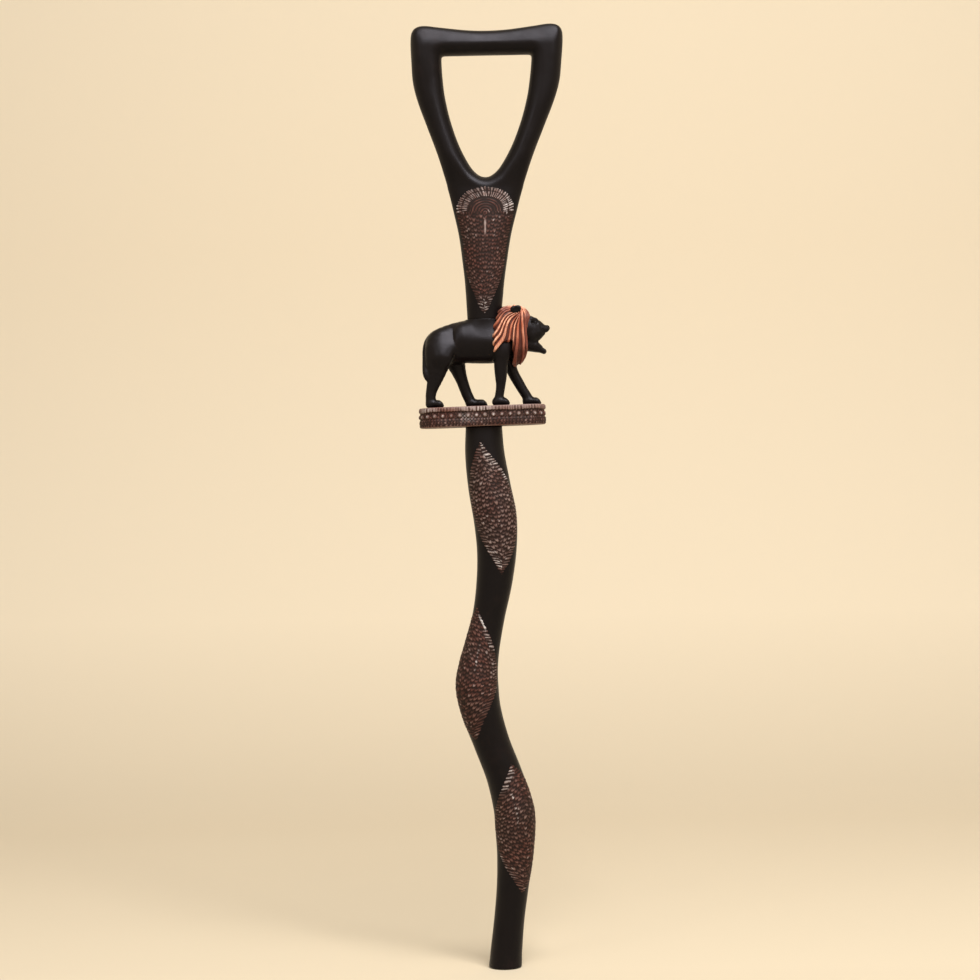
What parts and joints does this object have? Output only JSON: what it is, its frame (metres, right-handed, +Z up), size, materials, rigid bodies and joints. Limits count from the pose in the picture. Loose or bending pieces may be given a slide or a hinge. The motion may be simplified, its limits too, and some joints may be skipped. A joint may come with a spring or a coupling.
{
  "type": "walking stick",
  "caption": "Carved wooden walking stick: stirrup handle, striding lion with a painted mane on a bossed plinth, and a wavy shaft with carved leaves.",
  "frame": {"origin": "middle of the cut face at the tip, the end that stands on the ground", "axes": "+Z up the stick to the grip, +X along the grip to the right as the lion faces, -Y to the viewer"},
  "size_m": [0.1479, 0.0466, 0.9128],
  "materials": {
    "black_wood": "black stained and waxed hardwood, semi-gloss, worn thin on the edges",
    "carved_wood": "gouge-textured dark brown wood, satin, with pale rubbed ridges",
    "mane_paint": "rust-orange stain over carved strands, darker red-brown at the bottom",
    "pale_wood": "bare turned hardwood dowel, matt"
  },
  "bodies": {
    "root": {"handle": "black_wood", "neck_panel_front": "carved_wood", "neck_panel_back": "carved_wood", "lion": "black_wood", "mane": "mane_paint", "plinth": "carved_wood", "shaft": "black_wood", "leaf_panel_upper": "carved_wood", "leaf_panel_middle": "carved_wood", "leaf_panel_lower": "carved_wood", "neck_dowel": "pale_wood", "shaft_dowel": "pale_wood", "paw_peg_hind_near": "pale_wood", "paw_peg_hind_far": "pale_wood", "paw_peg_fore_near": "pale_wood", "paw_peg_fore_far": "pale_wood"}
  },
  "joints": []
}
